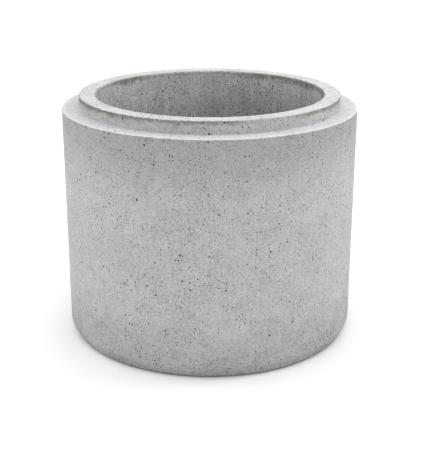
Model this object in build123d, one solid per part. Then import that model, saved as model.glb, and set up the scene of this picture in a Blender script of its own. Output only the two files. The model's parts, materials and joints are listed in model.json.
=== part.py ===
from build123d import *

import os

# Concrete culvert ring, cast in one piece.
#
# A short, thick-walled pipe that stands on its end. A spigot on the inner half of
# the wall rises from a flat shoulder at the top. A socket of the matching size is
# rebated into the foot, so that rings stack spigot into socket and each one bears
# on the shoulder of the ring below. A steep bevel runs round the outside of the foot.
#
# Units are millimetres. The origin is on the ring's axis, in the plane that it
# stands on, with +Z up along the axis.

# Driving dimensions
bore_diameter = 800.0
wall_thickness = 120.0
laying_height = 820.0  # standing face to shoulder: what one ring adds to a stack
spigot_wall = 60.0  # share of the wall that carries on up as the spigot
spigot_height = 45.0

# Joint with the next ring
joint_gap = 6.0  # radial room for mortar round the spigot
joint_bed = 5.0  # room over the spigot's top, so that the shoulder takes the load

# Edges, as the mould leaves them
foot_inset = 20.0  # how far the bevel round the foot draws in
foot_rise = 40.0  # how high that bevel reaches
rim_round = 8.0  # inner edge of the spigot's top
rim_bevel = 3.0  # outer edge of the spigot's top
shoulder_bevel = 2.0  # outer edge of the shoulder
root_cove = 4.0  # bevel in the inside corners of the spigot and the socket
lip_bevel = 3.0  # bore's lower edge, inside the socket
socket_lead_in = 6.0  # bevel at the mouth of the socket

# Sizes that follow from these
bore_radius = bore_diameter / 2
outer_radius = bore_radius + wall_thickness
spigot_radius = bore_radius + spigot_wall
socket_radius = spigot_radius + joint_gap
socket_depth = spigot_height + joint_bed
overall_height = laying_height + spigot_height
skirt_wall = outer_radius - socket_radius  # what stands on the ground, outside the socket
foot_edge = min(foot_inset, skirt_wall / 2)


def at(radius, height):
    """A point of the ring's section, on the +X side of the axis."""
    return Vector(radius, 0, height)


def corner(section, point):
    """The section's vertex at that point."""
    return section.vertices().sort_by_distance(point)[0]


def wall_section():
    """Half section of the wall, with each corner finished as it is cast."""
    foot_inner = at(outer_radius - foot_edge, 0)
    foot_outer = at(outer_radius, foot_rise)
    shoulder_outer = at(outer_radius, laying_height)
    spigot_root = at(spigot_radius, laying_height)
    rim_outer = at(spigot_radius, overall_height)
    rim_inner = at(bore_radius, overall_height)
    bore_lip = at(bore_radius, socket_depth)
    socket_root = at(socket_radius, socket_depth)
    socket_mouth = at(socket_radius, 0)

    outline = Polyline(
        foot_inner,
        foot_outer,
        shoulder_outer,
        spigot_root,
        rim_outer,
        rim_inner,
        bore_lip,
        socket_root,
        socket_mouth,
        close=True,
    )
    section = make_face(outline.edges())
    bevels = [
        (rim_bevel, [rim_outer]),
        (shoulder_bevel, [shoulder_outer]),
        (root_cove, [spigot_root, socket_root]),
        (lip_bevel, [bore_lip]),
        (socket_lead_in, [socket_mouth]),
    ]
    for length, points in bevels:
        section = chamfer([corner(section, point) for point in points], length)
    return fillet(corner(section, rim_inner), rim_round)


def concrete_ring():
    """The wall section turned once about the ring's axis."""
    return revolve(wall_section(), Axis.Z)


os.makedirs("parts", exist_ok=True)
export_step(concrete_ring(), "parts/concrete_ring.step")
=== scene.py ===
import json
import math

import bpy
import numpy as np
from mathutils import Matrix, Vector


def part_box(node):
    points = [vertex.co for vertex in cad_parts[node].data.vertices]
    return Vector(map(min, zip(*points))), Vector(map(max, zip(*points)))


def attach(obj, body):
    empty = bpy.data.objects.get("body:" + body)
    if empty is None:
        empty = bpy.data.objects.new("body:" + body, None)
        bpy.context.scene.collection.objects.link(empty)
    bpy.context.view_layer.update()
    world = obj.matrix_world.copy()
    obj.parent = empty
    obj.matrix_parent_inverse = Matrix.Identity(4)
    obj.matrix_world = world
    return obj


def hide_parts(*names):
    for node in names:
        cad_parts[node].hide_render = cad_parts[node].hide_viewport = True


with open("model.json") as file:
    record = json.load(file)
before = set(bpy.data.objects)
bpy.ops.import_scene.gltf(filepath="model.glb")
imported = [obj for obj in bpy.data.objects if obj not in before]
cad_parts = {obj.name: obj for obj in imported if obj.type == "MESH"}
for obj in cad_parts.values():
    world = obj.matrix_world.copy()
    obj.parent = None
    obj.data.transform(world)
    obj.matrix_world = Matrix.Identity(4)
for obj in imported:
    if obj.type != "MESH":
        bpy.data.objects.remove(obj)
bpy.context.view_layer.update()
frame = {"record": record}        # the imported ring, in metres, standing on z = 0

mounts = {mount["name"]: mount for mount in frame["record"]["mounts"]}
lowCorner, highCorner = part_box("concrete_ring")
print("frame: a ring", round(2 * highCorner.x, 3), "m across and", round(highCorner.z, 3), "m high")


# Section of the ring, in metres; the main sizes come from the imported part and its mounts
edgeSizes = dict(
    foot=0.002,          # edge of the standing face
    bevel=0.005,         # crease over the bevelled foot
    shoulder=0.0025,     # outer edge of the shoulder
    root=0.0015,         # inside corners of the spigot and the socket
    rimOuter=0.003,      # outer edge of the spigot's top
    rimInner=0.008,      # inner edge of the spigot's top
    lip=0.003,           # bore's lower edge
    mouth=0.006,         # mouth of the socket
)
footInset = 0.020        # bevel round the outside of the foot
footRise = 0.040
outerRadius = min(highCorner.x, -lowCorner.x)        # smaller side of the faceted mesh, to stay in its box
topHeight = highCorner.z
boreRadius = mounts["barrel"]["dims"]["r_mm"] / 1000
spigotRadius = mounts["spigot"]["dims"]["r_mm"] / 1000
socketRadius = mounts["socket"]["dims"]["r_mm"] / 1000
shoulderHeight = mounts["bearing_shoulder"]["pos_m"][2]
barrelHalf = mounts["barrel"]["dims"]["length_mm"] / 2000
roofHeight = mounts["barrel"]["pos_m"][2] - barrelHalf - edgeSizes["lip"]

# Each stop is a corner: radius, height, edge size, steps round the edge, then the face that leads to it
# and the steps along that face
sectionStops = [
    (outerRadius, footRise, edgeSizes["bevel"], 5, "footBevel", 5),
    (outerRadius, shoulderHeight, edgeSizes["shoulder"], 4, "outerWall", 25),
    (spigotRadius, shoulderHeight, edgeSizes["root"], 4, "shoulder", 8),
    (spigotRadius, topHeight, edgeSizes["rimOuter"], 4, "spigotSide", 7),
    (boreRadius, topHeight, edgeSizes["rimInner"], 5, "rimTop", 7),
    (boreRadius, roofHeight, edgeSizes["lip"], 2, "boreWall", 25),
    (socketRadius, roofHeight, edgeSizes["root"], 2, "socketRoof", 4),
    (socketRadius, 0.0, edgeSizes["mouth"], 2, "socketWall", 3),
    (outerRadius - footInset, 0.0, edgeSizes["foot"], 4, "footFace", 2),
]
endBunching = 0.6        # 0 spaces the rows of a long face evenly, towards 1 crowds them at its two edges
longFace = 20            # faces with more steps than this are bunched


# Walks round the section: a straight run from the last edge, then a soft turn into the next run.
# Turn: (1-t)^2 * start + 2t(1-t) * corner + t^2 * end, where start and end lie one edge size from the corner.
# The outward normal is the direction of travel turned to the right.
def walkSection():
    points, travels, faces, edgeMiddles = [], [], [], {}
    corners = np.array([stop[:2] for stop in sectionStops])
    sizes = np.array([stop[2] for stop in sectionStops])
    goIn = corners - np.roll(corners, 1, axis=0)
    goIn /= np.linalg.norm(goIn, axis=1, keepdims=True)
    goOut = np.roll(goIn, -1, axis=0)
    starts = np.roll(corners + sizes[:, None] * goOut, 1, axis=0)
    ends = corners - sizes[:, None] * goIn
    for k, (_, _, size, turnSteps, face, runSteps) in enumerate(sectionStops):
        share = np.arange(runSteps) / runSteps
        if runSteps > longFace:
            share = share - endBunching * np.sin(2 * np.pi * share) / (2 * np.pi)
        points.append(starts[k] + share[:, None] * (ends[k] - starts[k]))
        travels.append(np.repeat(goIn[k:k + 1], runSteps, axis=0))
        turn = np.arange(turnSteps)[:, None] / turnSteps
        points.append(corners[k] - size * goIn[k] * (1 - turn) ** 2 + size * goOut[k] * turn ** 2)
        travels.append(goIn[k] * (1 - turn) + goOut[k] * turn)
        faces += [face] * runSteps + [face + "Edge"] * turnSteps
        edgeMiddles[face + "Edge"] = len(faces) - turnSteps / 2
    points = np.concatenate(points)
    travels = np.concatenate(travels)
    travels /= np.linalg.norm(travels, axis=1, keepdims=True)
    normals = np.stack([travels[:, 1], -travels[:, 0]], axis=1)
    return points, normals, np.array(faces), edgeMiddles


# Smooth random field on the unrolled ring: random values on a lattice that closes on itself round the
# ring, blended between lattice points with 3t^2 - 2t^3 both ways. Cells are counted round and along.
def latticeNoise(turns, along, cells, seed):
    cellsRound, cellsAlong = cells
    table = np.random.default_rng(seed).random((cellsAlong + 2, cellsRound))
    u, v = np.broadcast_arrays(turns * cellsRound, along * cellsAlong)
    column, row = np.floor(u).astype(int), np.floor(v).astype(int)
    fu, fv = u - column, v - row
    fu, fv = fu * fu * (3 - 2 * fu), fv * fv * (3 - 2 * fv)
    left, right = column % cellsRound, (column + 1) % cellsRound
    lower = table[row, left] * (1 - fu) + table[row, right] * fu
    upper = table[row + 1, left] * (1 - fu) + table[row + 1, right] * fu
    return lower * (1 - fv) + upper * fv


def smoothStep(low, high, value):        # 0 below low, 1 above high, eased between
    t = np.clip((value - low) / (high - low), 0, 1)
    return t * t * (3 - 2 * t)


castSurface = dict(
    columns=640,             # steps round the ring
    wave=0.0005,             # depth of the slow waves that the mould leaves, in metres
    longWaves=(9, 14),       # noise cells round the ring and along its section
    shortWaves=(30, 44),
    edgeWear=0.0007,         # general rounding off along every edge
    edgeReach=0.004,         # how far that wear reaches from the edge
    wearCells=(320, 400),
    chipDepth=0.0030,        # deepest chips
    chipReach=0.005,
    chipCells=(290, 320),
    chipGroups=(17, 5),      # cells of the noise that gathers the chips
    chipEase=0.22,           # how far past its level the noise gives a chip its full depth
    chipLevels=dict(         # how much of each edge is chipped, as the level that the chip noise has to pass
        outerWallEdge=0.70,
        spigotSideEdge=0.64,
        rimTopEdge=0.62,
        footFaceEdge=0.74,
    ),
    flatFaces=("footFace",),        # kept true, because the ring stands on it
    sharpAngle=38,           # degrees; a crease over this is shaded sharp
    seed=11,
)


# Depth cut into the surface, on a grid of section rows by columns: slow waves, wear that fades with the
# distance from each edge as exp(-(d/reach)^2), and chips where a fine noise passes the edge's own level.
def surfaceDepth(turns, distance, faces, edgeMiddles):
    look = castSurface
    seed = look["seed"]
    along = (distance / distance[-1])[:, None]
    longWave = latticeNoise(turns, along, look["longWaves"], seed)
    shortWave = latticeNoise(turns, along, look["shortWaves"], seed + 1)
    depth = look["wave"] * (0.6 * longWave + 0.4 * shortWave)
    chips = np.zeros_like(depth)
    rows = np.arange(len(distance))
    for number, (edge, level) in enumerate(look["chipLevels"].items()):
        gap = np.abs(distance - np.interp(edgeMiddles[edge], rows, distance))[:, None]
        wear = latticeNoise(turns, along, look["wearCells"], seed + 10 + number)
        depth = depth + look["edgeWear"] * wear * np.exp(-(gap / look["edgeReach"]) ** 2)
        bite = latticeNoise(turns, along, look["chipCells"], seed + 20 + number)
        bite = bite * (0.75 + 0.5 * latticeNoise(turns, along, look["chipGroups"], seed + 30 + number))
        bite = smoothStep(level, level + look["chipEase"], bite)
        chips = np.maximum(chips, bite * np.exp(-(gap / look["chipReach"]) ** 2))
    depth = depth + look["chipDepth"] * chips
    flat = np.isin(faces, look["flatFaces"])[:, None]
    return np.where(flat, 0.0, depth), np.where(flat, 0.0, chips)


airHoles = dict(
    count=1300,
    radius=0.0016,           # middling radius, in metres
    spread=0.36,             # of the radii, as the sigma of their logarithm
    smallest=0.0009,
    fill=0.42,               # largest radius, as a share of the grid cell's shorter side
    depth=1.25,              # of the radius
    depthVaries=(0.8, 1.3),
    wobble=(0.82, 1.12),     # of the mouth's points, on the radius
    stretch=(0.85, 1.15),    # of the mouth, round the ring against along it
    throatWidth=0.74,        # of the lower ring of points, on the mouth's width
    throatDepth=0.72,        # of that ring, on the hole's depth
    cellShare=0.45,          # how far from the cell's middle the mouth may reach, on the cell's side
    mouthReach=1.2,          # what the mouth takes up of that, on its radius
    wideBunches=(26, 17),    # noise cells, round and along, of the two noises that bunch the holes
    closeBunches=(61, 40),
    strays=0.04,             # weight of a place that neither noise picks
    density=dict(            # holes for each unit of area, by face
        outerWall=1.0,
        outerWallEdge=0.5,
        shoulder=0.12,
        spigotSide=1.7,
        spigotSideEdge=0.5,
        rimTop=0.9,
        boreWall=1.1,
        footBevel=1.5,
        footBevelEdge=1.5,
    ),
    seed=5,
)
mouthCount = 8                       # points round a hole's mouth, two for each side of its cell
pitCount = 2 * mouthCount + 1        # mouth, throat and floor


# Picks grid cells for the air holes, by area, face and the product of two noises, squared, that bunches them.
def pickCells(grid, turns, distance, faces):
    look = airHoles
    rng = np.random.default_rng(look["seed"])
    sideRound = np.linalg.norm(np.roll(grid, -1, axis=1) - grid, axis=2)
    sideAlong = np.linalg.norm(np.roll(grid, -1, axis=0) - grid, axis=2)
    along = (distance / distance[-1])[:, None]
    bunch = latticeNoise(turns, along, look["wideBunches"], look["seed"] + 1)
    bunch = bunch * latticeNoise(turns, along, look["closeBunches"], look["seed"] + 2)
    density = np.array([look["density"].get(face, 0.0) for face in faces])[:, None]
    weight = sideRound * sideAlong * density * (look["strays"] + bunch ** 2)
    chosen = rng.choice(weight.size, look["count"], replace=False, p=(weight / weight.sum()).ravel())
    row, column = np.unravel_index(np.sort(chosen), weight.shape)
    room = look["fill"] * np.minimum(sideRound, sideAlong)[row, column]
    radius = np.exp(rng.normal(math.log(look["radius"]), look["spread"], look["count"]))
    radius = np.clip(radius, look["smallest"], room)
    return row, column, radius, rng


# One hole in a grid cell: a mouth of eight points on the cell's plane, a smaller throat below it and a floor
# point. Mouth point k lies at 225 + 45k degrees, so that every second one faces a corner of the cell. The
# centre is moved off the cell's middle by a random share of the room beside the mouth.
def holePoints(corners, radius, rng):
    look = airHoles
    count = len(radius)
    across = corners[:, 1] - corners[:, 0]
    upward = corners[:, 3] - corners[:, 0]
    normal = np.cross(across, upward)
    wide, tall = np.linalg.norm(across, axis=1), np.linalg.norm(upward, axis=1)
    across, upward, normal = (v / np.linalg.norm(v, axis=1, keepdims=True) for v in (across, upward, normal))
    taken = look["mouthReach"] * radius
    aside = np.maximum(look["cellShare"] * wide - taken, 0) * rng.uniform(-1, 1, count)
    aloft = np.maximum(look["cellShare"] * tall - taken, 0) * rng.uniform(-1, 1, count)
    centre = corners.mean(axis=1) + aside[:, None] * across + aloft[:, None] * upward
    angle = np.radians(225 + 360 / mouthCount * np.arange(mouthCount))
    wobble = radius[:, None] * rng.uniform(*look["wobble"], (count, mouthCount))
    stretch = rng.uniform(*look["stretch"], (count, 1))
    spread = (np.cos(angle) * wobble * stretch)[:, :, None] * across[:, None]
    spread = spread + (np.sin(angle) * wobble / stretch)[:, :, None] * upward[:, None]
    drop = (look["depth"] * radius * rng.uniform(*look["depthVaries"], count))[:, None] * normal
    mouth = centre[:, None] + spread
    throat = centre[:, None] + look["throatWidth"] * spread - look["throatDepth"] * drop[:, None]
    floor = centre - drop
    pits = np.concatenate([mouth, throat, floor[:, None]], axis=1)
    pits[:, :, 2] = np.minimum(pits[:, :, 2], topHeight)        # no mouth stands proud of the rim
    return pits


# Faces of every hole: four five-sided ones between its cell and its mouth, then its wall and its floor.
def holeFaces(cells, pitIndex):
    faces = []
    for side in range(4):
        around = [pitIndex[:, (2 * side + step) % mouthCount] for step in (2, 1, 0)]
        faces += np.stack([cells[:, side], cells[:, (side + 1) % 4]] + around, axis=1).tolist()
    floor = pitIndex[:, -1]
    for k in range(mouthCount):
        after = (k + 1) % mouthCount
        mouth, nextMouth = pitIndex[:, k], pitIndex[:, after]
        throat, nextThroat = pitIndex[:, mouthCount + k], pitIndex[:, mouthCount + after]
        faces += np.stack([mouth, nextMouth, nextThroat, throat], axis=1).tolist()
        faces += np.stack([throat, nextThroat, floor], axis=1).tolist()
    return faces


# Position: section point pushed in by the depth along its normal, then carried round the axis.
def buildRing():
    points, normals, faces, edgeMiddles = walkSection()
    rows, columns = len(points), castSurface["columns"]
    steps = np.linalg.norm(np.roll(points, -1, axis=0) - points, axis=1)
    distance = np.concatenate([[0.0], np.cumsum(steps)[:-1]])
    turns = np.arange(columns)[None, :] / columns
    depth, chips = surfaceDepth(turns, distance, faces, edgeMiddles)
    radius = points[:, :1] - depth * normals[:, :1]
    height = points[:, 1:] - depth * normals[:, 1:]
    angle = 2 * np.pi * turns
    grid = np.stack([radius * np.cos(angle), radius * np.sin(angle), height], axis=2)

    index = np.arange(rows * columns).reshape(rows, columns)
    right = np.roll(index, -1, axis=1)
    above = np.roll(index, -1, axis=0)
    cells = np.stack([index, right, np.roll(right, -1, axis=0), above], axis=2)

    # Cells with a hole give way to the faces of the hole
    row, column, holeRadius, rng = pickCells(grid, turns, distance, faces)
    gridPoints = grid.reshape(-1, 3)
    pits = holePoints(gridPoints[cells[row, column]], holeRadius, rng)
    pitIndex = rows * columns + np.arange(len(pits) * pitCount).reshape(-1, pitCount)
    keep = np.ones((rows, columns), bool)
    keep[row, column] = False
    vertices = np.concatenate([gridPoints, pits.reshape(-1, 3)])
    mesh = bpy.data.meshes.new("cast_ring")
    mesh.from_pydata(vertices.tolist(), [], cells[keep].tolist() + holeFaces(cells[row, column], pitIndex))

    # The material reads how deep each point lies in a hole or in a chip, to paint shade there
    inPit = np.where(np.arange(pitCount) < mouthCount, 0.0, 1.0)
    marks = {
        "holeDepth": np.concatenate([np.zeros(rows * columns), np.tile(inPit, len(pits))]),
        "chipDepth": np.concatenate([chips.ravel(), np.zeros(len(pits) * pitCount)]),
    }
    for name, values in marks.items():
        attribute = mesh.attributes.new(name, "FLOAT", "POINT")
        attribute.data.foreach_set("value", values.astype(np.float32))
    mesh.shade_smooth()
    mesh.set_sharp_from_angle(angle=math.radians(castSurface["sharpAngle"]))
    ring = bpy.data.objects.new("cast_ring", mesh)
    bpy.context.scene.collection.objects.link(ring)
    triangles = sum(len(face.vertices) - 2 for face in mesh.polygons)
    print("ring:", rows, "rows by", columns, "columns,", len(pits), "air holes,", triangles, "triangles")
    return ring


# A socket that takes part in Python sums: each operator adds a Math node
class Wire:
    def __init__(self, sheet, socket):
        self.sheet = sheet
        self.socket = socket

    def __add__(self, other):
        return self.sheet.sums("ADD", self, other)

    def __radd__(self, other):
        return self.sheet.sums("ADD", other, self)

    def __sub__(self, other):
        return self.sheet.sums("SUBTRACT", self, other)

    def __rsub__(self, other):
        return self.sheet.sums("SUBTRACT", other, self)

    def __mul__(self, other):
        return self.sheet.sums("MULTIPLY", self, other)

    def __rmul__(self, other):
        return self.sheet.sums("MULTIPLY", other, self)

    def __truediv__(self, other):
        return self.sheet.sums("DIVIDE", self, other)

    def __rtruediv__(self, other):
        return self.sheet.sums("DIVIDE", other, self)

    def __pow__(self, other):
        return self.sheet.sums("POWER", self, other)

    def __rpow__(self, other):
        return self.sheet.sums("POWER", other, self)

    def __gt__(self, other):
        return self.sheet.sums("GREATER_THAN", self, other)

    def __lt__(self, other):
        return self.sheet.sums("LESS_THAN", self, other)


# The nodes of one material or world
class NodeSheet:
    def __init__(self, owner):
        owner.use_nodes = True
        self.owner = owner
        self.tree = owner.node_tree
        self.tree.nodes.clear()

    # Adds a node: settings first, then a value or a link for each socket, by name or number.
    # A tuple of outputs gives a wire for each.
    def node(self, kind, settings=None, sockets=None, output=0):
        made = self.tree.nodes.new(kind)
        for name, value in (settings or {}).items():
            setattr(made, name, value)
        for key, value in (sockets or {}).items():
            if isinstance(value, Wire):
                self.tree.links.new(value.socket, made.inputs[key])
            else:
                made.inputs[key].default_value = value
        if not len(made.outputs):
            return made
        if isinstance(output, tuple):
            return [Wire(self, made.outputs[name]) for name in output]
        return Wire(self, made.outputs[output])

    def sums(self, operation, *values):
        return self.node("ShaderNodeMath", {"operation": operation}, dict(enumerate(values)))

    def larger(self, first, second):
        return self.sums("MAXIMUM", first, second)

    def noise(self, place, scale, detail=2.0, roughness=0.5):
        values = {"Vector": place, "Scale": scale, "Detail": detail, "Roughness": roughness}
        return self.node("ShaderNodeTexNoise", {}, values, "Fac")

    def drawnNoise(self, place, scales, detail=3.0, roughness=0.6):        # a scale for each axis
        drawn = self.node("ShaderNodeVectorMath", {"operation": "MULTIPLY"}, {0: place, 1: scales})
        return self.noise(drawn, 1.0, detail, roughness)

    def distance(self, place, spot):
        return self.node("ShaderNodeVectorMath", {"operation": "DISTANCE"}, {0: place, 1: spot}, "Value")

    def ease(self, value, low, high):        # 0 at low, 1 at high, smooth between
        values = {"Value": value, "From Min": low, "From Max": high}
        return self.node("ShaderNodeMapRange", {"interpolation_type": "SMOOTHSTEP"}, values)

    def ramp(self, value, setting):          # an amount that eases in
        amount, start, full = setting
        return amount * self.ease(value, start, full)

    def clamp(self, value):
        return self.node("ShaderNodeClamp", {}, {0: value})

    def blend(self, factor, first, second):        # colours
        return self.node("ShaderNodeMix", {"data_type": "RGBA"}, {0: factor, 6: first, 7: second}, 2)

    def pointValue(self, name):        # a mark on the mesh
        return self.node("ShaderNodeAttribute", {"attribute_name": name}, {}, "Fac")

    # Scattered round spots on a flat place: 1 inside a spot of about that share of its cell, 0 outside, for
    # the share of the cells that is kept. Most of the spots are small.
    def spots(self, place, scale, size, kept, soft=0.70):
        flat = {"voronoi_dimensions": "2D"}
        cell = {"Vector": place, "Scale": scale, "Randomness": 1.0}
        away, tint = self.node("ShaderNodeTexVoronoi", flat, cell, ("Distance", "Color"))
        chance, vary = self.node("ShaderNodeSeparateColor", {}, {0: tint}, (0, 1))
        reach = size * (0.45 + 0.85 * vary * vary)
        return (1 - self.ease(away / reach, soft, 1.0)) * (chance > 1 - kept)


concrete = dict(
    darkGrey=(0.366, 0.361, 0.348, 1),       # damp, slightly warm patches
    paleGrey=(0.612, 0.616, 0.616, 1),       # dry, slightly cool patches
    borePale=(0.700, 0.704, 0.702, 1),       # the same in the bore, where lime has washed over it
    filmGrey=(0.548, 0.562, 0.582, 1),       # cement film on the shoulder
    rimGrey=(0.570, 0.568, 0.560, 1),        # the same, worn thin on the rim
    stainAndShadeGrey=(0.150, 0.142, 0.124, 1),      # dirt at the rim and in the bore; also painted shade deep in the bore, at the foot, where it stands and in chips
    wallTopShadeGrey=(0.138, 0.144, 0.152, 1),      # painted shade at the top of the wall
    # painted shade inside the air holes
    holeShadeGrey=(0.014, 0.013, 0.012, 1),
    sandWhite=(0.740, 0.740, 0.730, 1),
    limeAndHighlightWhite=(0.700, 0.705, 0.705, 1),      # lime run down the bore; also the painted highlight along the shoulder's outer edge
    toneLayers=dict(         # noise cells to the metre, and how far the layer moves the tone
        clouds=(5.5, 0.50),
        patches=(19.0, 0.55),
        blotches=(62.0, 0.95),
        grain=(190.0, 2.00),
        dust=(420.0, 4.10),
    ),
    middleTone=0.56,         # dark grey is at 0, pale grey at 1
    grainySpots=10.0,        # cells to the metre of the places where grain and dust are stronger
    grainyTone=0.12,         # how much darker those places are
    grainLeast=0.70,         # grain and dust in the smoothest places
    grainGain=0.80,          # what they gain in the roughest
    mouldLines=0.40,         # faint upright lines on the outer wall
    spigotTone=0.36,         # tone added on these faces
    shoulderTone=0.08,
    rimTone=0.22,
    boreTone=0.14,
    boreContrast=1.10,       # what the bore's tones gain on those of the wall
    shoulderFilm=0.42,       # how thickly the cement film lies
    rimFilm=0.36,
    rimFilmVaries=1.20,

    # Ramps: an amount, then where it starts and where it is full
    smudges=(0.55, 0.54, 0.74),              # darkening by the thickest blotches
    boreShade=(0.46, -0.20, 0.40),           # painted shade across the bore, darker to the right, along x
    boreTopPaintedLight=(0.32, topHeight - 0.105, topHeight - 0.015),            # painted light, paler up the bore
    paintedEdgeHighlight=(0.45, outerRadius - 0.014, outerRadius - 0.005),     # painted highlight along the shoulder's outer edge
    limeRuns=(0.30, 0.54, 0.72),             # pale runs down the bore
    stainsAndShade=dict(             # towards the stain-and-shade colour, between two heights: real stains and painted shade
        rimLine=(0.88, topHeight - 0.020, topHeight - 0.008),        # close under the rim, round the spigot
        rimBand=(0.44, topHeight - 0.036, topHeight - 0.010),        # wider and softer, below that line
        boreBand=(0.80, topHeight - 0.030, topHeight - 0.008),       # under the rim, in the bore
        boreLine=(0.34, topHeight - 0.019, topHeight - 0.010),       # thin line along the top of that band
        boreDepthShadeAndStreaks=(0.44, topHeight - 0.015, topHeight - 0.245),       # painted shade further down the bore, darker to the right; stain streaks are added to it
        # painted shade: the wall darker towards its top
        paintedWallTopShade=(0.34, shoulderHeight - 0.240, shoulderHeight),
        # dirt and painted shade, darker towards the floor
        foot=(0.34, 0.250, 0.0),
        paintedContactShadow=(0.70, 0.007, 0.003),       # painted contact shadow: a thin dark line where it stands
    ),
    boreStreaks=0.45,        # stain that runs down the bore
    rinsedPlace=(0.20, -0.41, 0.85),         # where rain has washed the rim's stain off
    stainedPlace=(-0.30, 0.265, 0.85),       # a dark patch under the rim, in the bore
    sand=(210.0, 0.32, 0.26),                # pale grains: cells to the metre, size in a cell, share kept
    sandShows=0.55,
    paintedHoles=dict(       # air holes too fine to model, as painted dark spots of shade: the same three, and how dark they are
        wide=(34.0, 0.105, 0.17, 1.00),
        middling=(64.0, 0.145, 0.30, 1.00),
        fine=(150.0, 0.215, 0.22, 0.96),
    ),
    morePainted=dict(shoulder=-0.3, bore=1.3, rim=1.2, foot=0.8),        # share of them gained, by place
    chipShade=0.40,          # painted shade in the chips: how far a chip goes towards the stain-and-shade colour
    relief=dict(blotches=0.5, grain=0.9, sand=0.3, holes=-1.6),          # shares in the bump
    roughness=0.88,
    roughnessVaries=0.16,
    specular=0.28,
    bumpDepth=0.0010,        # metres
    bumpStrength=0.5,
)


# Where on the ring: 1 on each of these, 0 elsewhere, eased over a few millimetres
def ringZones(sheet, radius, height):
    onRim = sheet.ease(height, topHeight - 0.0020, topHeight - 0.0008)
    pastSpigot = sheet.ease(radius, spigotRadius + 0.001, spigotRadius + 0.005)
    onShoulder = sheet.ease(height, shoulderHeight - 0.003, shoulderHeight - 0.001) * pastSpigot
    onWall = pastSpigot * (1 - onShoulder)
    inBore = (1 - sheet.ease(radius, boreRadius + 0.006, boreRadius + 0.010)) * (1 - onRim)
    onSpigot = (1 - pastSpigot) * (1 - inBore) * (1 - onRim)
    return onRim, onShoulder, onWall, inBore, onSpigot


# The surface laid flat, for round spots: arc length and height on the walls, x and y on the level faces.
# The walls' seam is at the back.
def layFlat(sheet, place, axes, radius, level):
    x, y, height = axes
    arc = radius * sheet.sums("ARCTAN2", x, 0 - y)
    wallMap = sheet.node("ShaderNodeCombineXYZ", {}, {0: arc, 1: height})
    return sheet.node("ShaderNodeMix", {"data_type": "VECTOR"}, {0: level, 4: wallMap, 5: place}, 1)


# Tone between dark and pale grey: noises from slow clouds to fine dust, each less its middle, added up, with
# more grain and dust in some places than in others. The layers are kept for other uses.
def groundTone(sheet, place, onWall):
    look = concrete
    grainy = sheet.ease(sheet.noise(place, look["grainySpots"], 3.0, 0.6), 0.36, 0.64)
    tone = look["middleTone"] - look["grainyTone"] * grainy
    layers = {}
    for name, (scale, push) in look["toneLayers"].items():
        layers[name] = sheet.noise(place, scale, 3.0, 0.6)
        if name in ("grain", "dust"):
            push = push * (look["grainLeast"] + look["grainGain"] * grainy)
        tone = push * (layers[name] - 0.5) + tone
    tone = tone - sheet.ramp(layers["blotches"], look["smudges"])
    lines = sheet.drawnNoise(place, (70.0, 70.0, 12.0)) - 0.5
    return tone + look["mouldLines"] * lines * onWall, layers


# How far each place is darkened by real stains and painted shade: the largest of the separate bands. Each is
# a band that eases in over a range of heights, in metres, most of them with a ragged edge, and is then broken
# up along the ring.
def stainAndShadeAmount(sheet, place, axes, layers, zones):
    x, _, height = axes
    _, _, onWall, inBore, onSpigot = zones
    look = concrete
    stainsAndShade = look["stainsAndShade"]
    blotches = layers["blotches"] - 0.5
    wander = sheet.ease(sheet.noise(place, 4.2), 0.32, 0.68)
    drips = sheet.drawnNoise(place, (14.0, 14.0, 30.0), 4.0, 0.65) - 0.5
    ragged = 0.028 * drips + 0.040 * blotches + 0.036 * (layers["grain"] - 0.5)

    # Round the spigot: a line and a softer band, both rinsed off at one place
    unrinsed = sheet.ease(sheet.distance(place, look["rinsedPlace"]), 0.06, 0.17)
    rimLine = sheet.ramp(height + 0.7 * ragged, stainsAndShade["rimLine"])
    rimLine = rimLine * (0.30 + 0.70 * unrinsed) * (0.72 + 0.28 * wander)
    rimBand = sheet.ramp(height + 1.3 * ragged, stainsAndShade["rimBand"])
    rimBand = rimBand * unrinsed * (1 - 0.65 * sheet.ease(x, -0.25, 0.02))
    rimBand = rimBand * (0.60 + 0.40 * wander + 1.2 * blotches)

    # In the bore: a stain band that is whole on the right and broken on the left, then painted shade further
    # down, with stain streaks
    patch = 1 - sheet.ease(sheet.distance(place, look["stainedPlace"]), 0.04, 0.15)
    broken = sheet.larger(sheet.ease(sheet.noise(place, 8.0), 0.52, 0.66), patch)
    boreBand = sheet.ramp(height + 1.5 * ragged, stainsAndShade["boreBand"])
    boreBand = boreBand * (0.06 + 0.94 * sheet.larger(sheet.ease(x, 0.06, 0.20), broken))
    boreLine = sheet.ramp(height, stainsAndShade["boreLine"])
    streaks = sheet.drawnNoise(place, (34.0, 34.0, 2.2), 2.0, 0.5) - 0.4
    boreDepthShadeAndStreaks = sheet.ramp(height, stainsAndShade["boreDepthShadeAndStreaks"]) * (0.80 + 0.45 * sheet.ease(x, -0.25, 0.30))
    boreDepthShadeAndStreaks = boreDepthShadeAndStreaks + look["boreStreaks"] * streaks

    # On the wall: painted shade at its top, dirt and painted shade at its foot, a painted contact shadow
    # where it stands
    paintedWallTopShade = sheet.ramp(height + 0.20 * (layers["clouds"] - 0.5), stainsAndShade["paintedWallTopShade"])
    # dirt mottled with painted shade near the floor
    foot = sheet.ramp(height + 0.16 * (layers["patches"] - 0.5), stainsAndShade["foot"])
    foot = foot * (0.52 + 0.52 * wander + 3.0 * blotches)
    paintedContactShadow = sheet.ramp(height, stainsAndShade["paintedContactShadow"])

    total = 0.0
    for zone, amounts in (
        (onSpigot, (rimLine, rimBand)),
        (inBore, (boreBand, boreLine, boreDepthShadeAndStreaks)),
        (onWall, (paintedWallTopShade, foot, paintedContactShadow)),
    ):
        for amount in amounts:
            total = sheet.larger(total, amount * zone)
    return total


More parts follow.
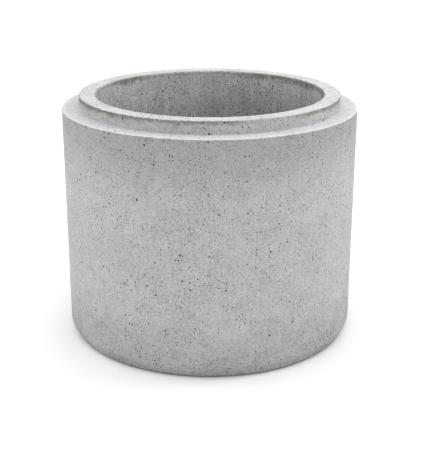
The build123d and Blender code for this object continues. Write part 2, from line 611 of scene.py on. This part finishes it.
# Painted shade of the air holes: the modelled ones darkened by their own depth, then three sizes of painted
# dark spots that bunch together
def holeAmount(sheet, place, unrolled, plenty):
    bunches = sheet.ease(sheet.noise(place, 13.0), 0.30, 0.70)
    holes = 0.95 * sheet.pointValue("holeDepth")
    for scale, size, kept, darkness in concrete["paintedHoles"].values():
        spots = sheet.spots(unrolled, scale, size, kept * plenty * (0.20 + 1.6 * bunches))
        holes = sheet.larger(holes, darkness * spots)
    return holes


def castConcrete():
    look = concrete
    sheet = NodeSheet(bpy.data.materials.new("cast_concrete"))
    place = sheet.node("ShaderNodeTexCoord", output="Object")
    axes = sheet.node("ShaderNodeSeparateXYZ", {}, {0: place}, (0, 1, 2))
    x, y, height = axes
    radius = (x * x + y * y) ** 0.5
    zones = ringZones(sheet, radius, height)
    onRim, onShoulder, onWall, inBore, onSpigot = zones
    unrolled = layFlat(sheet, place, axes, radius, sheet.larger(onRim, onShoulder))

    # Grey ground, paler on some faces; the bore has more contrast, painted shade towards its right and
    # painted light at its top
    tone, layers = groundTone(sheet, place, onWall)
    tone = 0.5 + (tone - 0.5) * (1 + look["boreContrast"] * inBore)
    boreToneLightAndShade = look["boreTone"] - sheet.ramp(x, look["boreShade"]) + sheet.ramp(height, look["boreTopPaintedLight"])
    tone = tone + boreToneLightAndShade * inBore + look["spigotTone"] * onSpigot
    tone = tone + look["shoulderTone"] * onShoulder + look["rimTone"] * onRim
    pale = sheet.blend(inBore, look["paleGrey"], look["borePale"])
    colour = sheet.blend(sheet.clamp(tone), look["darkGrey"], pale)

    # Cement film, the painted highlight on the shoulder's edge, stains with painted shade, and lime
    rimFilm = look["rimFilm"] + look["rimFilmVaries"] * (layers["blotches"] - 0.5)
    film = look["shoulderFilm"] * onShoulder + rimFilm * onRim
    filmColour = sheet.blend(onRim, look["filmGrey"], look["rimGrey"])
    colour = sheet.blend(sheet.clamp(film), colour, filmColour)
    edgeHighlight = sheet.ramp(radius, look["paintedEdgeHighlight"]) * onShoulder
    colour = sheet.blend(edgeHighlight, colour, look["limeAndHighlightWhite"])
    stainAndShade = stainAndShadeAmount(sheet, place, axes, layers, zones)
    stainAndShadeColour = sheet.blend(onWall * sheet.ease(height, 0.30, 0.60), look["stainAndShadeGrey"], look["wallTopShadeGrey"])
    colour = sheet.blend(stainAndShade, colour, stainAndShadeColour)
    runs = sheet.ramp(sheet.drawnNoise(place, (62.0, 62.0, 9.0)), look["limeRuns"])
    colour = sheet.blend(runs * inBore, colour, look["limeAndHighlightWhite"])

    # Pale sand grains, then painted shade in the holes, with more of them in some places, and in the chips
    sand = sheet.spots(unrolled, *look["sand"])
    colour = sheet.blend(look["sandShows"] * sand * (1 - 0.4 * onShoulder), colour, look["sandWhite"])
    low = 1 - sheet.ease(height, 0.02, 0.10)
    more = look["morePainted"]
    plenty = 1 + more["shoulder"] * onShoulder + more["bore"] * inBore
    plenty = plenty + more["rim"] * onRim + more["foot"] * low * onWall
    holes = holeAmount(sheet, place, unrolled, plenty)
    colour = sheet.blend(holes, colour, look["holeShadeGrey"])
    colour = sheet.blend(look["chipShade"] * sheet.pointValue("chipDepth"), colour, look["stainAndShadeGrey"])

    relief = 0.0
    reliefParts = dict(layers, sand=sand, holes=holes)
    for name, share in look["relief"].items():
        relief = share * reliefParts[name] + relief
    bump = {"Strength": look["bumpStrength"], "Distance": look["bumpDepth"], "Height": relief}
    shader = sheet.node("ShaderNodeBsdfPrincipled", {}, {
        "Base Color": colour,
        "Roughness": look["roughness"] + look["roughnessVaries"] * (layers["grain"] - 0.5),
        "Specular IOR Level": look["specular"],
        "Normal": sheet.node("ShaderNodeBump", {}, bump),
    })
    sheet.node("ShaderNodeOutputMaterial", {}, {"Surface": shader})
    print("material: cast concrete,", len(sheet.tree.nodes), "nodes")
    return sheet.owner


studio = dict(
    floorHalf=40.0,          # from the floor's middle to its edge, in metres
    floorSteps=8,
    floorWhite=(0.866, 0.858, 0.859, 1),
    floorRoughness=0.9,
    skyLow=0.15,             # dome light at the horizon
    skyHigh=2.27,            # what it gains towards the top
    skySeen=1.05,            # how bright the dome looks behind the ring
    aim=(0.0, 0.0, 0.4),     # what the softboxes point at
    softboxes=dict(
        key=dict(place=(2.2, 0.0, 2.6), size=1.0, watts=14.0),
        right=dict(place=(3.2, 0.6, 1.5), size=1.6, watts=12.4),
        left=dict(place=(-3.2, 0.6, 1.5), size=1.6, watts=21.5),
    ),
)


# Flat floor: two directions of a grid, all at the height that the ring stands on
def layFloor():
    edges = studio["floorSteps"] + 1
    share = np.linspace(-1.0, 1.0, edges) * studio["floorHalf"]
    across, along = np.meshgrid(share, share)
    vertices = np.stack([across, along, np.full_like(across, lowCorner.z)], axis=2).reshape(-1, 3)
    index = np.arange(edges * edges).reshape(edges, edges)
    quads = np.stack([index[:-1, :-1], index[:-1, 1:], index[1:, 1:], index[1:, :-1]], axis=2).reshape(-1, 4)
    mesh = bpy.data.meshes.new("studio_floor")
    mesh.from_pydata(vertices.tolist(), [], quads.tolist())
    sheet = NodeSheet(bpy.data.materials.new("studio_white"))
    paint = {"Base Color": studio["floorWhite"], "Roughness": studio["floorRoughness"]}
    shader = sheet.node("ShaderNodeBsdfPrincipled", {}, paint)
    sheet.node("ShaderNodeOutputMaterial", {}, {"Surface": shader})
    mesh.materials.append(sheet.owner)
    floor = bpy.data.objects.new("studio_floor", mesh)
    bpy.context.scene.collection.objects.link(floor)
    print("floor:", 2 * studio["floorHalf"], "m across")
    return floor


# Turns a square lamp so that it looks from its place towards the aim
def hangSoftbox(name, place, size, watts):
    lamp = bpy.data.lights.new("softbox_" + name, "AREA")
    lamp.shape = "SQUARE"
    lamp.size = size
    lamp.energy = watts
    light = bpy.data.objects.new("softbox_" + name, lamp)
    toward = np.array(studio["aim"]) - np.array(place)
    level = math.hypot(toward[0], toward[1])
    light.location = place
    light.visible_camera = False
    light.rotation_euler = (math.atan2(level, -toward[2]), 0, math.atan2(toward[1], toward[0]) - math.pi / 2)
    bpy.context.scene.collection.objects.link(light)


# Soft dome that brightens towards the top as the square of the upward direction, and the softboxes
def lightStudio():
    scene = bpy.context.scene
    scene.world = bpy.data.worlds.new("studio_sky")
    sheet = NodeSheet(scene.world)
    direction = sheet.node("ShaderNodeTexCoord", output="Generated")
    upward = sheet.larger(sheet.node("ShaderNodeSeparateXYZ", {}, {0: direction}, 2), 0.0)
    lit = studio["skyLow"] + studio["skyHigh"] * upward * upward
    seen = sheet.node("ShaderNodeLightPath", output="Is Camera Ray")
    strength = lit + seen * (studio["skySeen"] - lit)
    dome = sheet.node("ShaderNodeBackground", {}, {"Color": (1, 1, 1, 1), "Strength": strength})
    sheet.node("ShaderNodeOutputWorld", {}, {"Surface": dome})
    for name, setup in studio["softboxes"].items():
        hangSoftbox(name, **setup)
    scene.view_settings.view_transform = "Standard"
    scene.view_settings.look = "None"
    print("studio: dome and", len(studio["softboxes"]), "softboxes")


cameraSetup = dict(
    distance=3.693,          # from the lens to the point it looks at, in metres
    elevation=19.06,         # degrees above the horizon
    aimHeight=0.3650,        # that point's height on the ring's axis
    turn=0.050,              # degrees to the right
    focalPixels=998.7,
    imageHeight=450,         # the picture's long side, in pixels
)


def setCamera():
    look = cameraSetup
    tilt = math.radians(look["elevation"])
    back, up = look["distance"] * math.cos(tilt), look["distance"] * math.sin(tilt)
    lens = bpy.data.cameras.new("camera")
    lens.lens = look["focalPixels"] * lens.sensor_width / look["imageHeight"]
    camera = bpy.data.objects.new("camera", lens)
    camera.location = (0, -back, look["aimHeight"] + up)
    camera.rotation_euler = (math.pi / 2 - tilt, 0, -math.radians(look["turn"]))
    bpy.context.scene.collection.objects.link(camera)
    bpy.context.scene.camera = camera
    print("camera:", round(lens.lens, 1), "mm lens")


ring = buildRing()
ring.data.materials.append(castConcrete())
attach(ring, "root")
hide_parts("concrete_ring")
layFloor()
lightStudio()
setCamera()
